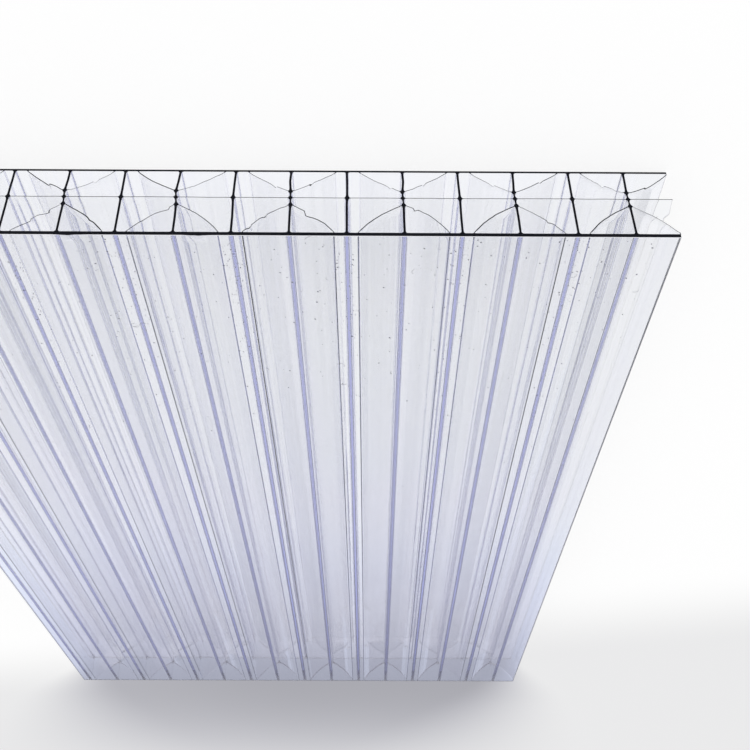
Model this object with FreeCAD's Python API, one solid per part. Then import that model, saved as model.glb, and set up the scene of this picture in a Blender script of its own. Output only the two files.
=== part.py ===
import FreeCAD, Part
import math
import os
from FreeCAD import Vector

# A sawn piece of clear multiwall sheet, in millimetres. It lies flat: +Z is up through the thick face
# skin, +Y runs along the flutes, and the origin is in the middle of the underside.

# The piece as it was sawn from the stock
sheet_length = 241.0
sheet_width = 160.0
sheet_thickness = 16.0
first_web_inset = 7.75  # from the sawn edge at -X to the first braced web, less than one pitch

# The webs, which are braced and plain in turn
web_pitch = 10.0
web_wall = 0.42
neck_wall = 0.28  # a braced web between its two nodes

# The flat skins
face_skin = 0.75
under_skin = 0.45
mid_skin = 0.12
mid_height = 6.9  # the middle of the mid skin over the underside

# The braces, thin films that fan out from two nodes on a braced web to the skins
brace_wall = 0.12
face_node_rise = 1.65  # from the mid skin up to the node of the face braces
under_node_drop = 1.5  # from the mid skin down to the node of the under braces
weld_offset = 2.05  # from a plain web to the weld of a brace on a skin
face_brace_sag = 0.7
under_brace_sag = 0.3
brace_bend_share = 0.8  # the part of each half of a brace that bends

# Fillets that the melt leaves in the corners of the flutes
skin_fillet = 0.4
mid_fillet = 0.25
weld_fillet = 0.2
node_fillet = 0.55  # between a brace and the neck of its web
crotch_fillet = 0.12  # between a brace and the web past its node


def shifted_line(start, end, distance):
    """A point and the direction of the line from start to end, moved to its left by distance."""
    along = (end - start).normalize()
    left = Vector(-along.z, 0, along.x)
    return start + left * distance, along


def crossing(line_a, line_b):
    """The point where two lines of the section meet."""
    (point_a, along_a), (point_b, along_b) = line_a, line_b
    gap = point_b - point_a
    cross = along_a.x * along_b.z - along_a.z * along_b.x
    return point_a + along_a * ((gap.x * along_b.z - gap.z * along_b.x) / cross)


def tangent_ends(before, corner, after, radius):
    """Where a fillet of this radius leaves and joins the two sides of a corner, and its middle."""
    back = (before - corner).normalize()
    ahead = (after - corner).normalize()
    half_angle = back.getAngle(ahead) / 2
    reach = radius / math.tan(half_angle)
    middle_reach = radius / math.sin(half_angle) - radius
    middle = corner + (back + ahead).normalize() * middle_reach
    return corner + back * reach, middle, corner + ahead * reach


def flute(corners, half_walls, radii):
    """The hollow between wall middles: half_walls[i] is half the wall from corner i to the next."""
    count = len(corners)
    area = sum(corners[i - 1].x * corners[i].z - corners[i].x * corners[i - 1].z for i in range(count))
    if area < 0:
        corners = corners[::-1]
        radii = radii[::-1]
        half_walls = half_walls[-2::-1] + half_walls[-1:]
    sides = [shifted_line(corners[i], corners[(i + 1) % count], half_walls[i]) for i in range(count)]
    points = [crossing(sides[i - 1], sides[i]) for i in range(count)]
    edges = []
    fillets = []
    for i in range(count):
        after = points[(i + 1) % count]
        fillets.append(tangent_ends(points[i - 1], points[i], after, radii[i]) if radii[i] else (points[i],) * 3)
    for i in range(count):
        leave, middle, join = fillets[i]
        if radii[i]:
            edges.append(Part.Arc(leave, middle, join).toShape())
        edges.append(Part.LineSegment(join, fillets[(i + 1) % count][0]).toShape())
    return Part.Wire(edges)


def bay(braced_x, plain_x, skin_height, node_height, sag):
    """The two flutes between a braced and a plain web on one side of the mid skin."""
    inward = 1 if plain_x > braced_x else -1
    weld = Vector(plain_x - inward * weld_offset, 0, skin_height)
    node = Vector(braced_x, 0, node_height)
    along = weld - node
    towards_mid = Vector(abs(along.z) * inward, 0, -abs(along.x) * math.copysign(1, along.z)).normalize()
    bend = (weld + node) / 2 + towards_mid * 2 * sag
    half_brace = along.Length / 2
    bend_radius = half_brace * brace_bend_share * half_brace / (2 * sag)
    web, brace, mid = web_wall / 2, brace_wall / 2, mid_skin / 2
    braced_corner = Vector(braced_x, 0, skin_height)
    plain_corner = Vector(plain_x, 0, skin_height)
    braced_mid = Vector(braced_x, 0, mid_height)
    plain_mid = Vector(plain_x, 0, mid_height)
    triangle = flute(
        [braced_corner, node, bend, weld],
        [web, brace, brace, 0],
        [skin_fillet, crotch_fillet, bend_radius, weld_fillet],
    )
    open_flute = flute(
        [plain_corner, plain_mid, braced_mid, node, bend, weld],
        [web, mid, neck_wall / 2, brace, brace, 0],
        [skin_fillet, mid_fillet, mid_fillet, node_fillet, bend_radius, 0],
    )
    return [triangle, open_flute]


def rectangle(left, right, bottom, top):
    corners = [Vector(left, 0, bottom), Vector(right, 0, bottom), Vector(right, 0, top), Vector(left, 0, top)]
    return Part.makePolygon(corners + corners[:1])


def section():
    """The sheet's section: stock with whole bays, trimmed at the two sawn edges."""
    first_x = -sheet_width / 2 + first_web_inset
    bay_count = math.ceil((sheet_width - first_web_inset) / web_pitch)
    web_x = [first_x + i * web_pitch for i in range(-1, bay_count + 1)]
    wires = [rectangle(web_x[0], web_x[-1], 0, sheet_thickness)]
    for i in range(bay_count + 1):
        braced_x, plain_x = (web_x[i], web_x[i + 1]) if i % 2 else (web_x[i + 1], web_x[i])
        wires += bay(braced_x, plain_x, sheet_thickness - face_skin, mid_height + face_node_rise, face_brace_sag)
        wires += bay(braced_x, plain_x, under_skin, mid_height - under_node_drop, under_brace_sag)
    stock = Part.makeFace(wires, "Part::FaceMakerBullseye")
    edge = sheet_width / 2
    sawn = Part.makeFace([rectangle(-edge, edge, 0, sheet_thickness)], "Part::FaceMakerBullseye")
    return stock.common(sawn).Faces[0]


sheet = section()
sheet.translate(Vector(0, -sheet_length / 2, 0))
multiwall_sheet = sheet.extrude(Vector(0, sheet_length, 0))

os.makedirs("parts", exist_ok=True)
multiwall_sheet.exportStep("parts/multiwall_sheet.step")
print("solids", len(multiwall_sheet.Solids), "valid", multiwall_sheet.isValid())
print("volume mm3", round(multiwall_sheet.Volume, 1), "faces", len(multiwall_sheet.Faces))
print("box", multiwall_sheet.BoundBox)
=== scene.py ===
# A sawn piece of clear multiwall polycarbonate sheet, lying flat with its thick face skin up.
import math
import random

import bmesh
import bpy
from mathutils import Matrix, Vector, noise


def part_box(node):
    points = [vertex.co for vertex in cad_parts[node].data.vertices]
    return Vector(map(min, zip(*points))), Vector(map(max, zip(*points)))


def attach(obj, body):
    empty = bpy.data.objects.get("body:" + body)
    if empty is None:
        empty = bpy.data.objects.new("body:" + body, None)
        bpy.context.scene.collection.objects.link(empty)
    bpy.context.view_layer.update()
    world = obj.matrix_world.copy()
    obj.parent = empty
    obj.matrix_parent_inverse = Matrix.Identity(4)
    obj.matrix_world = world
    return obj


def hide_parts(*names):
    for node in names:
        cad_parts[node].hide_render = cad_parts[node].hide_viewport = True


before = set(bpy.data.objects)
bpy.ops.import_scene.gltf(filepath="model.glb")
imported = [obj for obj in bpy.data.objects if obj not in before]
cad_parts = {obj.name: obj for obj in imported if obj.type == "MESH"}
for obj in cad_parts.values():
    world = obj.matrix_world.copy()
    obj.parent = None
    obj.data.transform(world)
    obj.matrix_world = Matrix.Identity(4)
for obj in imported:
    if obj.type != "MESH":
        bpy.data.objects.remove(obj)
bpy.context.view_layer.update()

# The sheet's profile
# One extruded piece of clear polycarbonate: two outer skins and a thin mid skin, upright webs a pitch apart,
# and thin braces that fan out from every second web. Webs count from 0 at -X, and the even ones are braced.
# The outline is the near sawn end's, cut into short steps so that its walls can waver.
sheet_low, sheet_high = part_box("multiwall_sheet")
sheet_length = sheet_high.y - sheet_low.y
web_pitch = 0.010
first_web_inset = 0.00775
first_web_x = sheet_low.x + first_web_inset
face_skin = 0.00075
under_skin = 0.00045
mid_height = 0.0069
face_node_height = 0.00855
under_node_height = 0.0054
weld_offset = 0.00205
outline_step = 0.0003
merge_distance = 0.000002

sheet = bmesh.new()
sheet.from_mesh(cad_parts["multiwall_sheet"].data)
bmesh.ops.remove_doubles(sheet, verts=sheet.verts, dist=merge_distance)


def on_near_end(vert):
    return vert.co.y < sheet_low.y + merge_distance


outline = {
    edge
    for edge in sheet.edges
    if all(on_near_end(vert) for vert in edge.verts)
    and any(not all(on_near_end(vert) for vert in face.verts) for face in edge.link_faces)
}
bmesh.ops.delete(sheet, geom=[edge for edge in sheet.edges if edge not in outline], context="EDGES_FACES")
bmesh.ops.delete(sheet, geom=[vert for vert in sheet.verts if not vert.link_edges], context="VERTS")
edges_by_steps = {}
for edge in sheet.edges:
    edges_by_steps.setdefault(round(edge.calc_length() / outline_step), []).append(edge)
for steps, edges in edges_by_steps.items():
    if steps > 1:
        bmesh.ops.subdivide_edges(sheet, edges=edges, cuts=steps - 1)
bmesh.ops.triangle_fill(sheet, edges=sheet.edges[:], use_beauty=True, normal=(0, -1, 0))

# The drawn walls
# The melt draws as it cools: the webs lean and bow, the mid skin waves, and each brace sags towards the mid
# skin by its own amount. The fillets at the braces' welds shrink along the flutes. The lists are in mm. They
# start at the sawn edge at -X, with two braces to a braced web.
mm = 0.001
half_mm = 0.0005  # for half of a wall given in mm
mm_per_m = 1000
brace_wall = 0.12
face_sags = (
    *(0.49, 0.67, 0.43, 0.73, 0.96, 0.67, 0.61, 0.61),
    *(0.67, 0.40, 0.55, 0.13, 0.50, 0.60, 0.40, 0.70),
)
under_sags = (
    *(0.65, 0.60, 0.14, 0.40, 0.18, 0.24, 0.15, 0.26),
    *(0.17, 0.50, 0.42, 0.25, 0.30, 0.40, 0.20, 0.30),
)
face_sag_in_cad = 0.84
under_sag_in_cad = 0.36
sag_skew = 1.2  # over 1, a brace hangs lowest past its middle, nearer to its weld
bow_heights = (0.0, 2.8, 5.4, 6.9, 8.55, 11.5, 16.0)
web_bows = (
    (0.06, 0.17, 0.10, 0.03),
    (0.00, 0.02, 0.01, 0.00),
    (0.10, 0.27, 0.17, 0.11),
    (0.00, -0.05, -0.07, -0.05),
    (-0.14, 0.10, 0.06, -0.04),
    (-0.08, -0.07, -0.07, 0.00),
    (0.19, 0.00, 0.00, -0.07),
    (0.10, 0.15, 0.18, 0.10),
    (0.20, 0.47, 0.33, 0.09),
    (0.00, 0.00, 0.02, 0.00),
    (0.05, 0.25, 0.12, -0.03),
    (0.00, 0.05, 0.04, 0.00),
    (0.12, 0.20, 0.10, 0.00),
    (0.00, -0.06, -0.05, 0.00),
    (0.05, 0.15, 0.10, 0.05),
    (0.00, 0.00, 0.00, 0.00),
)
web_lean = (0.18, -0.155)  # at the under skin and at the face skin
web_moves_within = 0.0018
face_weld = (sheet_high.z - face_skin, 1, math.radians(55))  # skin height, side, slope of the brace
under_weld = (sheet_low.z + under_skin, -1, math.radians(39))
weld_reach = 0.0006
weld_slack = merge_distance * 5
weld_keep = 0.4  # the share of its fillet that a weld keeps at the near end
far_weld_keep = 0.08  # and at the far end
film_waver = 0.00006
waver_length = 0.0045
waver_slice = 25.1  # the slice of the noise that the waver is read from
still_by_skins = 0.002
still_by_sides = 0.003
# A point counts as a brace's when it lies between these shares of the brace, clear of the skins, and within
# a band round the straight line from node to weld. The mid skin's points lie in a band of their own.
brace_shares = (0.05, 0.97)
brace_off_skin = 0.0003
brace_off_mid = 0.0004
brace_band = 0.0015
mid_skin_band = 0.0002
mid_skin_off_web = 0.0006
# Where the saw caught the thin braces, their ends are torn back from the sawn plane. A tear is given as face
# side or not, brace, where along it the tear starts, depth in mm, and the share of the brace it fades over.
tear_depth = 0.00016
tear_knots = 9
tears = (
    (True, 6, 0.33, 1.15, 0.45),
    (True, 11, 0.28, 0.75, 0.22),
    (True, 11, 0.62, 0.50, 0.33),
    (True, 9, 0.17, 0.50, 0.25),
    (True, 10, 0.64, 0.50, 0.12),
    (True, 7, 0.52, 0.50, 0.07),
    (True, 7, 0.84, 0.50, 0.09),
    (True, 4, 0.24, 0.60, 0.09),
    (True, 2, 0.62, 0.45, 0.10),
    (True, 13, 0.40, 0.60, 0.30),
    (True, 15, 0.55, 0.40, 0.15),
    (False, 11, 0.44, 0.62, 0.50),
    (False, 10, 0.58, 0.50, 0.10),
    (False, 8, 0.30, 0.15, 0.20),
    (False, 7, 0.34, 0.50, 0.10),
    (False, 6, 0.42, 0.40, 0.09),
    (False, 5, 0.26, 0.45, 0.10),
    (False, 4, 0.44, 0.50, 0.08),
    (False, 3, 0.48, 0.50, 0.15),
    (False, 2, 0.57, 0.45, 0.09),
    (False, 1, 0.50, 0.55, 0.12),
    (False, 1, 0.20, 0.30, 0.10),
    (False, 0, 0.42, 0.40, 0.28),
    (False, 13, 0.35, 0.50, 0.25),
    (False, 15, 0.60, 0.40, 0.12),
)
# The heat of the saw rolled each cut edge of a brace to its own thickness, in mm.
face_edges = (
    *(0.08, 0.20, 0.12, 0.20, 0.14, 0.18, 0.16, 0.14),
    *(0.14, 0.13, 0.20, 0.11, 0.15, 0.13, 0.17, 0.12),
)
under_edges = (
    *(0.16, 0.08, 0.15, 0.09, 0.12, 0.11, 0.11, 0.11),
    *(0.11, 0.19, 0.09, 0.18, 0.13, 0.12, 0.15, 0.11),
)
mid_edge = 0.135


def broken_line(points, place):
    """The value at a place on a line that runs straight between (place, value) points."""
    for (start, low), (end, high) in zip(points, points[1:]):
        if start <= place <= end:
            return low + (high - low) * (place - start) / (end - start)
    return 0.0


def slim_weld(co, keep):
    """A fillet's point, drawn in to where its brace meets a skin, so that a share of the fillet is left."""
    web = round((co.x - first_web_x) / web_pitch)
    plain_web = web if web % 2 else web + (1 if co.x > first_web_x + web * web_pitch else -1)
    plain_x = first_web_x + plain_web * web_pitch
    for skin_height, side, slope in (face_weld, under_weld):
        off_skin = (skin_height - co.z) * side
        corner = weld_offset + brace_wall * half_mm / math.sin(slope)
        off_corner = abs(co.x - plain_x) - corner
        under_brace = off_skin < off_corner * math.tan(slope) + weld_slack
        by_skin = -merge_distance < off_skin < weld_reach
        by_corner = -merge_distance < off_corner < weld_reach
        if by_skin and by_corner and under_brace:
            away = 1 if co.x > plain_x else -1
            slim_x = plain_x + away * (corner + off_corner * keep)
            return Vector((slim_x, co.y, skin_height - off_skin * keep * side))
    return co.copy()


def brace_place(co):
    """How far along its brace a point lies, from node to weld, with the brace's number, or None."""
    bay = math.floor((co.x - first_web_x) / web_pitch)
    across = (co.x - first_web_x) / web_pitch - bay
    from_braced = across if bay % 2 == 0 else 1 - across
    along = from_braced * web_pitch / (web_pitch - weld_offset)
    over_mid = co.z > mid_height
    side = 1 if over_mid else -1
    node_height = face_node_height if over_mid else under_node_height
    skin_height = sheet_high.z - face_skin if over_mid else sheet_low.z + under_skin
    chord_height = node_height + (skin_height - node_height) * along
    clear_of_skin = side * (skin_height - co.z) > brace_off_skin
    clear_of_mid = abs(co.z - mid_height) > brace_off_mid
    near_chord = abs(co.z - chord_height) < brace_band
    if brace_shares[0] < along < brace_shares[1] and clear_of_skin and clear_of_mid and near_chord:
        return along, bay + 1, over_mid
    return None


def tear(brace, over_mid, along):
    """How far a brace's sawn end is torn back at a place along it."""
    dice = random.Random(brace * 2 + over_mid)
    knots = [(knot / tear_knots, dice.uniform(0, tear_depth)) for knot in range(1, tear_knots)]
    torn = broken_line([(0, 0), *knots, (1, 0)], along)
    for on_face_side, torn_brace, start, depth, fade in tears:
        if (on_face_side, torn_brace) == (over_mid, brace) and start < along < start + fade:
            torn += depth * mm * (1 - (along - start) / fade)
    return torn


def web_shift(web, height):
    """How far a web stands off its even place at a height."""
    bows = list(zip(bow_heights, (0.0, *web_bows[web % len(web_bows)], 0.0, 0.0)))
    lean = web_lean[0] + (web_lean[1] - web_lean[0]) * height / sheet_high.z
    return (broken_line(bows, height * mm_per_m) + lean) * mm


near_tear = sheet.verts.layers.float.new("near_tear")
far_tear = sheet.verts.layers.float.new("far_tear")
lip = sheet.verts.layers.float.new("lip")
weld_fade = sheet.verts.layers.float_vector.new("weld_fade")
for vert in sheet.verts:
    slimmed = slim_weld(vert.co, weld_keep)
    vert[weld_fade] = slim_weld(vert.co, far_weld_keep) - slimmed
    vert.co = slimmed
    web = round((vert.co.x - first_web_x) / web_pitch)
    from_web = abs(vert.co.x - first_web_x - web * web_pitch)
    place = brace_place(vert.co)
    if place:
        along, brace, over_mid = place
        vert[near_tear] = tear(brace, over_mid, along)
        vert[far_tear] = tear(len(face_sags) - 1 - brace, over_mid, along)
        edges = face_edges if over_mid else under_edges
        vert[lip] = (edges[brace % len(edges)] - brace_wall) * half_mm
        sags = face_sags if over_mid else under_sags
        sag_in_cad = face_sag_in_cad if over_mid else under_sag_in_cad
        more_sag = (sags[brace % len(sags)] - sag_in_cad) * mm * math.sin(math.pi * along**sag_skew)
        vert.co.z -= more_sag if over_mid else -more_sag
    elif abs(vert.co.z - mid_height) < mid_skin_band and from_web > mid_skin_off_web:
        vert[lip] = (mid_edge - brace_wall) * half_mm
    off_skins = min(sheet_high.z - vert.co.z, vert.co.z - sheet_low.z)
    off_sides = min(vert.co.x - sheet_low.x, sheet_high.x - vert.co.x)
    waver_at = Vector((vert.co.x / waver_length, vert.co.z / waver_length, waver_slice))
    waver = film_waver * noise.noise(waver_at)
    vert.co.x += web_shift(web, vert.co.z) * max(0, 1 - from_web / web_moves_within)
    vert.co.z += waver * min(1, off_skins / still_by_skins) * min(1, off_sides / still_by_sides)

# The extrusion
# The profile is drawn out along the flutes from the near sawn end to the far one. Rings of vertices are cut
# in close to both ends, so that the torn wall ends can stand back and the rolled edges stay short.
lip_reach = 0.00014
tear_reach = 0.0022
drawn = bmesh.ops.extrude_face_region(sheet, geom=sheet.faces[:])["geom"]
far_verts = {item for item in drawn if isinstance(item, bmesh.types.BMVert)}
near_verts = [vert for vert in sheet.verts if vert not in far_verts]
bmesh.ops.translate(sheet, verts=list(far_verts), vec=(0, sheet_length, 0))
for vert in far_verts:
    vert.co += vert[weld_fade]


def cut_ring(faces, ring_y):
    geom = {item for face in faces for item in (face, *face.edges, *face.verts)}
    bmesh.ops.bisect_plane(sheet, geom=list(geom), plane_co=(0, ring_y, 0), plane_no=(0, 1, 0))


for reach in (tear_reach, lip_reach):
    cut_ring(sheet.faces, sheet_low.y + reach)
    cut_ring(sheet.faces, sheet_high.y - reach)

# The sawn edges
# The saw and the knife left the mid skin's free edge beaded, bulged and torn near the near corner, smeared
# the melt round the nodes, and turned up two small burrs on the face skin. The torn edge is given as distance
# from the end and step outwards, in mm.
torn_edge = ((0.0, 0.0), (1.6, 0.12), (3.5, 0.33), (4.1, 0.05), (4.6, -0.36), (6.6, -0.22), (9.5, 0.0))
torn_strip = 0.006
bead_height = 0.0003
bead_width = 0.0015
bead_swell = 1.5
smear_reach = 0.0009
smear_swell = 0.0002
burr_places = (0.0255, 0.0030)
burr_width = 0.0030
burr_height = 0.00013
burr_skin = 0.0001
burr_grain = 900
arris_reach = lip_reach * 1.1
crease_angle = 0.5
clear_finish, end_shade_and_light_finish, side_finish, arris_highlight_finish = range(4)  # in the order of the sheet's finishes below


def in_outer_mid_skin(face):
    by_side = all(vert.co.x < sheet_low.x + torn_strip for vert in face.verts)
    return by_side and all(abs(vert.co.z - mid_height) < bead_height for vert in face.verts)


def smear(co):
    """How the sawn melt swells out round the nodes of a web."""
    web = round((co.x - first_web_x) / web_pitch)
    node_heights = (mid_height,) if web % 2 else (under_node_height, mid_height, face_node_height)
    swell = Vector()
    for height in node_heights:
        node = Vector((first_web_x + web * web_pitch + web_shift(web, height), co.y, height))
        away = co - node
        swell += away.normalized() * max(0, 1 - away.length / smear_reach) * smear_swell
    return swell


for reach, step in torn_edge[1:]:
    cut_ring([face for face in sheet.faces if in_outer_mid_skin(face)], sheet_low.y + reach * mm)
bmesh.ops.recalc_face_normals(sheet, faces=sheet.faces)
for face in sheet.faces:
    sawn_end = all(abs(vert.co.y) > sheet_high.y - merge_distance for vert in face.verts)
    sawn_side = all(abs(vert.co.x) > sheet_high.x - merge_distance for vert in face.verts)
    on_face = all(vert.co.z > sheet_high.z - merge_distance for vert in face.verts)
    arris = on_face and all(vert.co.y < sheet_low.y + arris_reach for vert in face.verts)
    face.material_index = clear_finish
    # Sawn end faces take the painted shade and painted light of the sawn end finish.
    if sawn_end:
        face.material_index = end_shade_and_light_finish
    elif sawn_side:
        face.material_index = side_finish
    # Arris faces take the pale painted highlight.
    elif arris:
        face.material_index = arris_highlight_finish
    face.smooth = not (sawn_end or sawn_side)
for edge in sheet.edges:
    edge.smooth = edge.calc_face_angle(math.pi) < crease_angle
rolled = [
    (vert, Vector((vert.normal.x, 0, vert.normal.z)).normalized() * vert[lip] + smear(vert.co))
    for vert in (*near_verts, *far_verts)
]
for vert, outwards in rolled:
    vert.co += outwards
for vert in near_verts:
    if vert.co.z > sheet_high.z - burr_skin:
        for place in burr_places:
            nearness = max(0, 1 - abs(vert.co.x - place) / burr_width)
            vert.co.z += burr_height * nearness * (1 + noise.noise(vert.co * burr_grain))
for vert in sheet.verts:
    from_end = (vert.co.y - sheet_low.y) * mm_per_m
    if vert.co.y < sheet_low.y + tear_reach - merge_distance:
        vert.co.y += vert[near_tear]
    elif vert.co.y > sheet_high.y - tear_reach + merge_distance:
        vert.co.y -= vert[far_tear]
    if abs(vert.co.z - mid_height) < bead_height:
        if abs(vert.co.x) > sheet_high.x - merge_distance:
            vert.co.z = mid_height + (vert.co.z - mid_height) * bead_swell
        if vert.co.x < sheet_low.x + bead_width:
            vert.co.x -= broken_line(torn_edge, from_end) * mm

sheet_mesh = bpy.data.meshes.new("clear_sheet")
sheet.to_mesh(sheet_mesh)
sheet.free()
clear_sheet = bpy.data.objects.new("clear_sheet", sheet_mesh)
bpy.context.scene.collection.objects.link(clear_sheet)

# The clear polycarbonate
# A glossy clear plastic with a high index, which swallows a little red and green along long paths. Lines
# drawn along the flutes by the die give its walls a faint ripple.
clear = bpy.data.materials.new("clear_polycarbonate")
clear.use_nodes = True
tree = clear.node_tree
body = tree.nodes["Principled BSDF"]
body.inputs["Base Color"].default_value = (1, 1, 1, 1)
body.inputs["Roughness"].default_value = 0.0
body.inputs["IOR"].default_value = 1.585
body.inputs["Transmission Weight"].default_value = 1.0
place = tree.nodes.new("ShaderNodeTexCoord")
along_flutes = tree.nodes.new("ShaderNodeMapping")
along_flutes.inputs["Scale"].default_value = (900, 12, 900)
die_lines = tree.nodes.new("ShaderNodeTexNoise")
die_lines.inputs["Scale"].default_value = 1.0
die_lines.inputs["Detail"].default_value = 3.0
ripple = tree.nodes.new("ShaderNodeBump")
ripple.inputs["Strength"].default_value = 0.15
ripple.inputs["Distance"].default_value = 0.00002
tree.links.new(place.outputs["Object"], along_flutes.inputs["Vector"])
tree.links.new(along_flutes.outputs["Vector"], die_lines.inputs["Vector"])
tree.links.new(die_lines.outputs["Fac"], ripple.inputs["Height"])
tree.links.new(ripple.outputs["Normal"], body.inputs["Normal"])
swallow = tree.nodes.new("ShaderNodeVolumeAbsorption")
swallow.inputs["Color"].default_value = (0.12, 0.16, 0.66, 1)
swallow.inputs["Density"].default_value = 50.0
shadow_pane = tree.nodes.new("ShaderNodeBsdfTransparent")
shadow_pane.inputs["Color"].default_value = (0.95, 0.95, 0.97, 1)
ray = tree.nodes.new("ShaderNodeLightPath")
shadow_mix = tree.nodes.new("ShaderNodeMixShader")
tree.links.new(ray.outputs["Is Shadow Ray"], shadow_mix.inputs["Fac"])
tree.links.new(body.outputs["BSDF"], shadow_mix.inputs[1])
tree.links.new(shadow_pane.outputs["BSDF"], shadow_mix.inputs[2])
tree.links.new(shadow_mix.outputs["Shader"], tree.nodes["Material Output"].inputs["Surface"])
tree.links.new(swallow.outputs["Volume"], tree.nodes["Material Output"].inputs["Volume"])
sheet_mesh.materials.append(clear)

# The sawn faces
# Light that enters a sawn end runs on inside the thin walls and doesn't come back, so the sawn section is
# painted near-black as painted shade, a line drawing of the webs and skins. Seen from inside the plastic, it
# lets the room's light in, so there it is painted pale as painted light. The sawn sides scatter light and
# look pale too, and the burred arris of the near end is painted pale as a painted highlight.
# Painted shade on the outside of the sawn ends and painted light on their inside; Backfacing picks between
# them.
end_painted_shade = (0.0015, 0.002, 0.006, 1)
end_painted_light = (0.80, 0.80, 0.85, 1)
side_tone = (0.92, 0.92, 0.97, 1)
# Painted highlight: the arris's pale tone stands for light caught at the burred edge of the near end.
arris_painted_highlight = (0.87, 0.87, 0.92, 1)
sawn = bpy.data.materials.new("sawn_end")
sawn.use_nodes = True
tree = sawn.node_tree
sawn_body = tree.nodes["Principled BSDF"]
sawn_body.inputs["Roughness"].default_value = 0.5
sawn_body.inputs["Specular IOR Level"].default_value = 0.08
sawn_surface = tree.nodes.new("ShaderNodeNewGeometry")
sawn_shade_and_light = tree.nodes.new("ShaderNodeMix")
sawn_shade_and_light.data_type = "RGBA"
sawn_shade_and_light.inputs["A"].default_value = end_painted_shade
sawn_shade_and_light.inputs["B"].default_value = end_painted_light
tree.links.new(sawn_surface.outputs["Backfacing"], sawn_shade_and_light.inputs["Factor"])
tree.links.new(sawn_shade_and_light.outputs["Result"], sawn_body.inputs["Base Color"])
sheet_mesh.materials.append(sawn)
for name, pale_tone in (("sawn_side", side_tone), ("burred_arris_painted_highlight", arris_painted_highlight)):
    pale = bpy.data.materials.new(name)
    pale.use_nodes = True
    pale_body = pale.node_tree.nodes["Principled BSDF"]
    pale_body.inputs["Base Color"].default_value = pale_tone
    pale_body.inputs["Roughness"].default_value = 0.6
    sheet_mesh.materials.append(pale)
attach(clear_sheet, "root")
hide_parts("multiwall_sheet")

# Saw crumbs and fibres
# The saw threw fine crumbs of plastic on the face skin, most of them near the near end and on the strips
# beside the plain webs, and handling left a few short curled fibres. They lie loose on the skin.
crumb_count = 900
crumb_radius = (0.00005, 0.00015)
crumb_lengths = (0.7, 1.8)
crumb_flatness = 0.5
crumb_rise = 0.3
throw_length = 0.024
longest_throw = 0.200
clear_of_end = 0.0008
clear_of_sides = 0.004
clear_of_rim = 0.001
strip_share = 0.45
plain_web_count = 8
fibre_count = 26
fibre_radius = 0.000032
fibre_rise = 0.6
curl_radius = (0.0003, 0.0009)
curl_turn = (0.9, 2.6)
dice = random.Random(16)
crumbs = bmesh.new()


def litter_place():
    """A seeded point on the face skin, more often near the near end."""
    from_end = min(dice.expovariate(1 / throw_length), longest_throw) + clear_of_end
    x = dice.uniform(sheet_low.x + clear_of_sides, sheet_high.x - clear_of_sides)
    if dice.random() < strip_share:
        plain_web = first_web_x + web_pitch * (1 + 2 * dice.randrange(plain_web_count))
        x = plain_web + dice.uniform(-weld_offset, weld_offset)
    return Vector((min(x, sheet_high.x - clear_of_rim), sheet_low.y + from_end, sheet_high.z))


for _ in range(crumb_count):
    radius = dice.uniform(*crumb_radius)
    turn = Matrix.Rotation(dice.uniform(0, math.pi), 4, "Z")
    flatten = Matrix.Diagonal((radius * dice.uniform(*crumb_lengths), radius, radius * crumb_flatness, 1))
    lift = Matrix.Translation(litter_place() + Vector((0, 0, radius * crumb_rise)))
    bmesh.ops.create_icosphere(crumbs, subdivisions=1, radius=1.0, matrix=lift @ turn @ flatten)
for _ in range(fibre_count):
    middle = litter_place() + Vector((0, 0, fibre_radius * fibre_rise))
    curl = dice.uniform(*curl_radius)
    start = dice.uniform(0, 2 * math.pi)
    arm = Vector((math.cos(start), math.sin(start), 0))
    ring_matrix = Matrix.Translation(middle + arm * curl) @ arm.to_track_quat("X", "Z").to_matrix().to_4x4()
    ring = bmesh.ops.create_circle(
        crumbs,
        cap_ends=True,
        segments=5,
        radius=fibre_radius,
        matrix=ring_matrix @ Matrix.Rotation(math.pi / 2, 4, "X"),
    )
    ring_edges = {edge for vert in ring["verts"] for edge in vert.link_edges}
    ring_faces = {face for vert in ring["verts"] for face in vert.link_faces}
    bmesh.ops.spin(
        crumbs,
        geom=[*ring["verts"], *ring_edges, *ring_faces],
        cent=middle,
        axis=(0, 0, 1),
        angle=dice.uniform(*curl_turn),
        steps=7,
    )
bmesh.ops.recalc_face_normals(crumbs, faces=crumbs.faces)
crumb_mesh = bpy.data.meshes.new("saw_crumbs")
crumbs.to_mesh(crumb_mesh)
crumbs.free()
saw_crumbs = bpy.data.objects.new("saw_crumbs", crumb_mesh)
bpy.context.scene.collection.objects.link(saw_crumbs)
chalked = bpy.data.materials.new("chalked_plastic")
chalked.use_nodes = True
tree = chalked.node_tree
crumb_body = tree.nodes["Principled BSDF"]
crumb_body.inputs["Roughness"].default_value = 0.6
place = tree.nodes.new("ShaderNodeTexCoord")
mottle = tree.nodes.new("ShaderNodeTexNoise")
mottle.inputs["Scale"].default_value = 700.0
crumb_tones = tree.nodes.new("ShaderNodeValToRGB")
crumb_tones.color_ramp.elements[0].position = 0.35
crumb_tones.color_ramp.elements[0].color = (0.09, 0.09, 0.12, 1)
crumb_tones.color_ramp.elements[1].position = 0.65
crumb_tones.color_ramp.elements[1].color = (0.42, 0.42, 0.48, 1)
tree.links.new(place.outputs["Object"], mottle.inputs["Vector"])
tree.links.new(mottle.outputs["Fac"], crumb_tones.inputs["Fac"])
tree.links.new(crumb_tones.outputs["Color"], crumb_body.inputs["Base Color"])
crumb_mesh.materials.append(chalked)
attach(saw_crumbs, "root")
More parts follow.
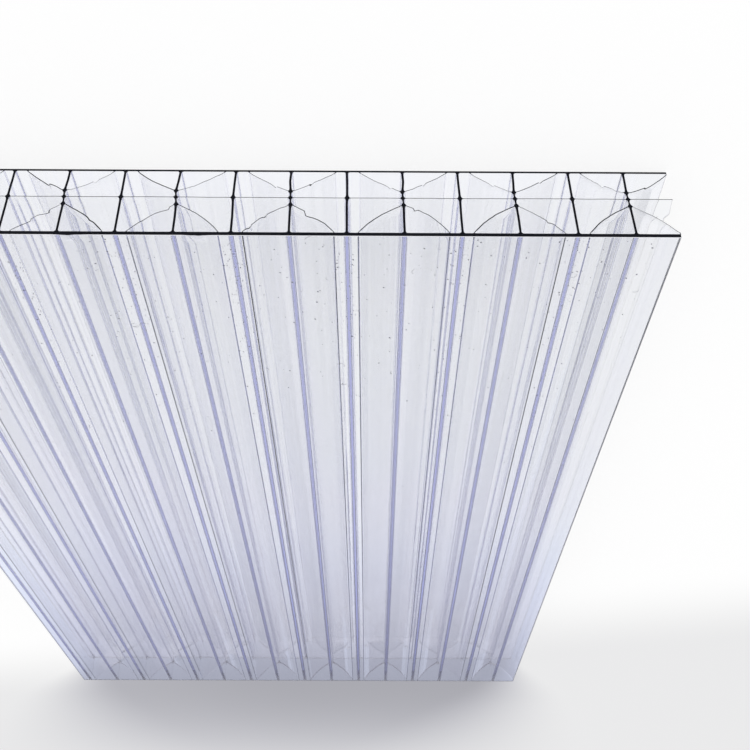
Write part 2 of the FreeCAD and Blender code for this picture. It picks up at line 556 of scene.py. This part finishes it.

# The floor
# White paper that takes a soft shadow. A painted shade greys it past the sheet's far end, most of all close
# to that end, and leans to +X, its sides growing softer as it leaves the sheet. Through the clear walls and
# in them, a painted shade makes it look darker and bluer towards the far end, standing for the sheet's shadow
# on the paper under it.
floor_size = 4.0
floor_gap = 0.0003
paper_slant = -0.25
paper_painted_shade_over = (0.09, 0.165)
paper_painted_shade_tones = (1.0, 0.83)
shade_leans_from = 0.14
shade_lean = 0.16
shade_widens_over = (0.12, 0.20)
half_shade_widths = (0.080, 0.096)
shade_blur_growth = 0.5
least_shade_blur = 0.006
shade_thins_over = (0.0, 0.10)
shade_depths = (-0.5, -0.43)
shade_rises_over = (0.02, 0.165)
shade_fades_over = (0.17, 0.40)
shaded_tint_over = (0.3, 0.95)
shaded_tint = (0.96, 0.96, 1.06, 1)
lit_tint = (1.0, 1.0, 1.0, 1)
seen_glow = 0.8
# Painted shade under the sheet: the paper that rays through the walls see darkens and turns bluer towards the
# far end.
through_painted_shade = (
    (-0.030, (0.955, 0.965, 0.995)),
    (0.020, (0.90, 0.94, 1.0)),
    (0.048, (0.82, 0.88, 1.0)),
    (0.075, (0.76, 0.82, 0.98)),
    (0.120, (0.72, 0.78, 0.95)),
)
through_span = 0.4
through_middle = 0.5
floor_mesh = bpy.data.meshes.new("floor")
floor_grid = bmesh.new()
bmesh.ops.create_grid(floor_grid, x_segments=1, y_segments=1, size=floor_size / 2)
bmesh.ops.translate(floor_grid, verts=floor_grid.verts, vec=(0, 0, -floor_gap))
floor_grid.to_mesh(floor_mesh)
floor_grid.free()
floor = bpy.data.objects.new("floor", floor_mesh)
bpy.context.scene.collection.objects.link(floor)
paper = bpy.data.materials.new("white_paper")
paper.use_nodes = True
tree = paper.node_tree


def math_node(tree, operation, first, second, third=None, clamp=False):
    """One operation on sockets or numbers."""
    node = tree.nodes.new("ShaderNodeMath")
    node.operation = operation
    node.use_clamp = clamp
    for socket, value in zip(node.inputs, (first, second, third)):
        if isinstance(value, bpy.types.NodeSocket):
            tree.links.new(value, socket)
        elif value is not None:
            socket.default_value = value
    return node.outputs["Value"]


def ramp_node(tree, value, over, tones):
    """A smooth ramp from the first tone to the second, over a stretch of the value."""
    node = tree.nodes.new("ShaderNodeMapRange")
    node.interpolation_type = "SMOOTHSTEP"
    tree.links.new(value, node.inputs["Value"])
    for name, number in zip(("From Min", "From Max", "To Min", "To Max"), (*over, *tones)):
        node.inputs[name].default_value = number
    return node.outputs["Result"]


def tone_ramp(tree, value, stops):
    """A colour ramp through (place, colour) stops."""
    node = tree.nodes.new("ShaderNodeValToRGB")
    tree.links.new(value, node.inputs["Fac"])
    while len(node.color_ramp.elements) < len(stops):
        node.color_ramp.elements.new(0.5)
    for element, (position, colour) in zip(node.color_ramp.elements, stops):
        element.position = position
        element.color = (*colour, 1)
    return node.outputs["Color"]


where = tree.nodes.new("ShaderNodeTexCoord")
split = tree.nodes.new("ShaderNodeSeparateXYZ")
tree.links.new(where.outputs["Object"], split.inputs["Vector"])
# Painted shade: the paper's tone greys along a slanted line past the sheet's far end.
slanted = math_node(tree, "MULTIPLY_ADD", split.outputs["X"], paper_slant, split.outputs["Y"])
paper_shade_tone = ramp_node(tree, slanted, paper_painted_shade_over, paper_painted_shade_tones)
# Painted shade: a shadow-like patch past the far end that leans to +X and grows softer at its sides.
past_lean = math_node(tree, "MAXIMUM", math_node(tree, "SUBTRACT", split.outputs["Y"], shade_leans_from), 0.0)
shade_middle = math_node(tree, "MULTIPLY", past_lean, shade_lean)
from_middle = math_node(tree, "ABSOLUTE", math_node(tree, "SUBTRACT", split.outputs["X"], shade_middle), 0.0)
half_shade = ramp_node(tree, split.outputs["Y"], shade_widens_over, half_shade_widths)
past_side = math_node(tree, "SUBTRACT", from_middle, half_shade)
blur = math_node(tree, "MAXIMUM", math_node(tree, "MULTIPLY", past_lean, shade_blur_growth), least_shade_blur)
shade_across = ramp_node(tree, math_node(tree, "DIVIDE", past_side, blur), (-1.0, 1.0), (1.0, 0.0))
shade_depth = ramp_node(tree, split.outputs["X"], shade_thins_over, shade_depths)
shade_rises = ramp_node(tree, split.outputs["Y"], shade_rises_over, (0.0, 1.0))
shade_fades = ramp_node(tree, split.outputs["Y"], shade_fades_over, (1.0, 0.0))
shade_along = math_node(tree, "MULTIPLY", shade_rises, shade_fades)
shade = math_node(tree, "MULTIPLY", math_node(tree, "MULTIPLY", shade_along, shade_across), shade_depth)
tone = math_node(tree, "MULTIPLY", paper_shade_tone, math_node(tree, "ADD", shade, 1.0))
# Painted shade: the paper's colour seen through the sheet is read from the painted shade stops by Y.
along_paper = math_node(tree, "DIVIDE", split.outputs["Y"], through_span)
through_shade_stops = [(y / through_span + through_middle, colour) for y, colour in through_painted_shade]
paper_through_shade = tone_ramp(tree, math_node(tree, "ADD", along_paper, through_middle), through_shade_stops)
# Painted shade tint: where the painted shade is deep, the paper seen directly turns slightly blue.
seen_tint = tree.nodes.new("ShaderNodeMix")
seen_tint.data_type = "RGBA"
seen_tint.inputs["A"].default_value = shaded_tint
seen_tint.inputs["B"].default_value = lit_tint
tree.links.new(ramp_node(tree, tone, shaded_tint_over, (0.0, 1.0)), seen_tint.inputs["Factor"])
ray = tree.nodes.new("ShaderNodeLightPath")
paper_tint = tree.nodes.new("ShaderNodeMix")
paper_tint.data_type = "RGBA"
tree.links.new(ray.outputs["Is Camera Ray"], paper_tint.inputs["Factor"])
tree.links.new(paper_through_shade, paper_tint.inputs["A"])
tree.links.new(seen_tint.outputs["Result"], paper_tint.inputs["B"])
paper_colour = tree.nodes.new("ShaderNodeVectorMath")
paper_colour.operation = "SCALE"
tree.links.new(paper_tint.outputs["Result"], paper_colour.inputs["Vector"])
tree.links.new(tone, paper_colour.inputs["Scale"])
paper_body = tree.nodes["Principled BSDF"]
paper_body.inputs["Roughness"].default_value = 0.9
tree.links.new(paper_colour.outputs["Vector"], paper_body.inputs["Base Color"])
glow = tree.nodes.new("ShaderNodeEmission")
tree.links.new(paper_colour.outputs["Vector"], glow.inputs["Color"])
through = math_node(tree, "ADD", ray.outputs["Is Transmission Ray"], ray.outputs["Is Glossy Ray"], clamp=True)
seen = math_node(tree, "MULTIPLY", ray.outputs["Is Camera Ray"], seen_glow)
glow_share = math_node(tree, "ADD", through, seen, clamp=True)
paper_mix = tree.nodes.new("ShaderNodeMixShader")
tree.links.new(glow_share, paper_mix.inputs["Fac"])
tree.links.new(paper_body.outputs["BSDF"], paper_mix.inputs[1])
tree.links.new(glow.outputs["Emission"], paper_mix.inputs[2])
tree.links.new(paper_mix.outputs["Shader"], tree.nodes["Material Output"].inputs["Surface"])
floor_mesh.materials.append(paper)

# The light
# A white studio. What the clear walls mirror of it greys overhead and falls off to a dim blue near the
# horizon. Light that the thin walls guide turns many times before it leaves them.
mirrored_tones = (
    (0.24, (0.28, 0.29, 0.36)),
    (0.29, (0.50, 0.50, 0.60)),
    (0.315, (0.60, 0.60, 0.71)),
    (0.335, (0.70, 0.70, 0.80)),
    (0.355, (0.82, 0.81, 0.88)),
    (0.375, (0.87, 0.86, 0.92)),
    (0.42, (0.90, 0.89, 0.92)),
    (0.465, (0.90, 0.88, 0.88)),
    (0.50, (0.85, 0.86, 0.83)),
    (0.60, (0.79, 0.81, 0.72)),
    (0.635, (0.74, 0.745, 0.65)),
    (0.68, (0.58, 0.60, 0.51)),
)
guided_bounces = 76
world = bpy.data.worlds.new("studio")
bpy.context.scene.world = world
world.use_nodes = True
tree = world.node_tree
where = tree.nodes.new("ShaderNodeTexCoord")
split = tree.nodes.new("ShaderNodeSeparateXYZ")
tree.links.new(where.outputs["Generated"], split.inputs["Vector"])
ray = tree.nodes.new("ShaderNodeLightPath")
mirrors = math_node(tree, "ADD", ray.outputs["Is Transmission Ray"], ray.outputs["Is Glossy Ray"], clamp=True)
studio_mix = tree.nodes.new("ShaderNodeMix")
studio_mix.data_type = "RGBA"
studio_mix.inputs["A"].default_value = (1, 1, 1, 1)
tree.links.new(mirrors, studio_mix.inputs["Factor"])
tree.links.new(tone_ramp(tree, split.outputs["Z"], mirrored_tones), studio_mix.inputs["B"])
tree.links.new(studio_mix.outputs["Result"], tree.nodes["Background"].inputs["Color"])
bpy.context.scene.cycles.max_bounces = guided_bounces
bpy.context.scene.cycles.transmission_bounces = guided_bounces
bpy.context.scene.cycles.glossy_bounces = guided_bounces
bpy.context.scene.cycles.transparent_max_bounces = 24
bpy.context.scene.view_settings.view_transform = "Standard"

# The camera
# It looks down on the sheet along the flutes from past the near end, turned so that this end is on top.
camera_data = bpy.data.cameras.new("camera")
camera = bpy.data.objects.new("camera", camera_data)
bpy.context.scene.collection.objects.link(camera)
bpy.context.scene.camera = camera
frame_side_px = 750
focal_px = 979.67
camera_data.sensor_width = 36.0
camera_data.lens = focal_px / frame_side_px * camera_data.sensor_width
camera_right = Vector((-0.99999, -0.00505, -0.00204))
camera_up = Vector((0.00456, -0.57332, -0.81932))
camera_forward = Vector((-0.00297, 0.81932, -0.57334))
camera_place = Vector((-0.02685, -0.24480, 0.13217))
camera_axes = Matrix((camera_right, camera_up, -camera_forward)).transposed()
camera.matrix_world = Matrix.Translation(camera_place) @ camera_axes.to_4x4()
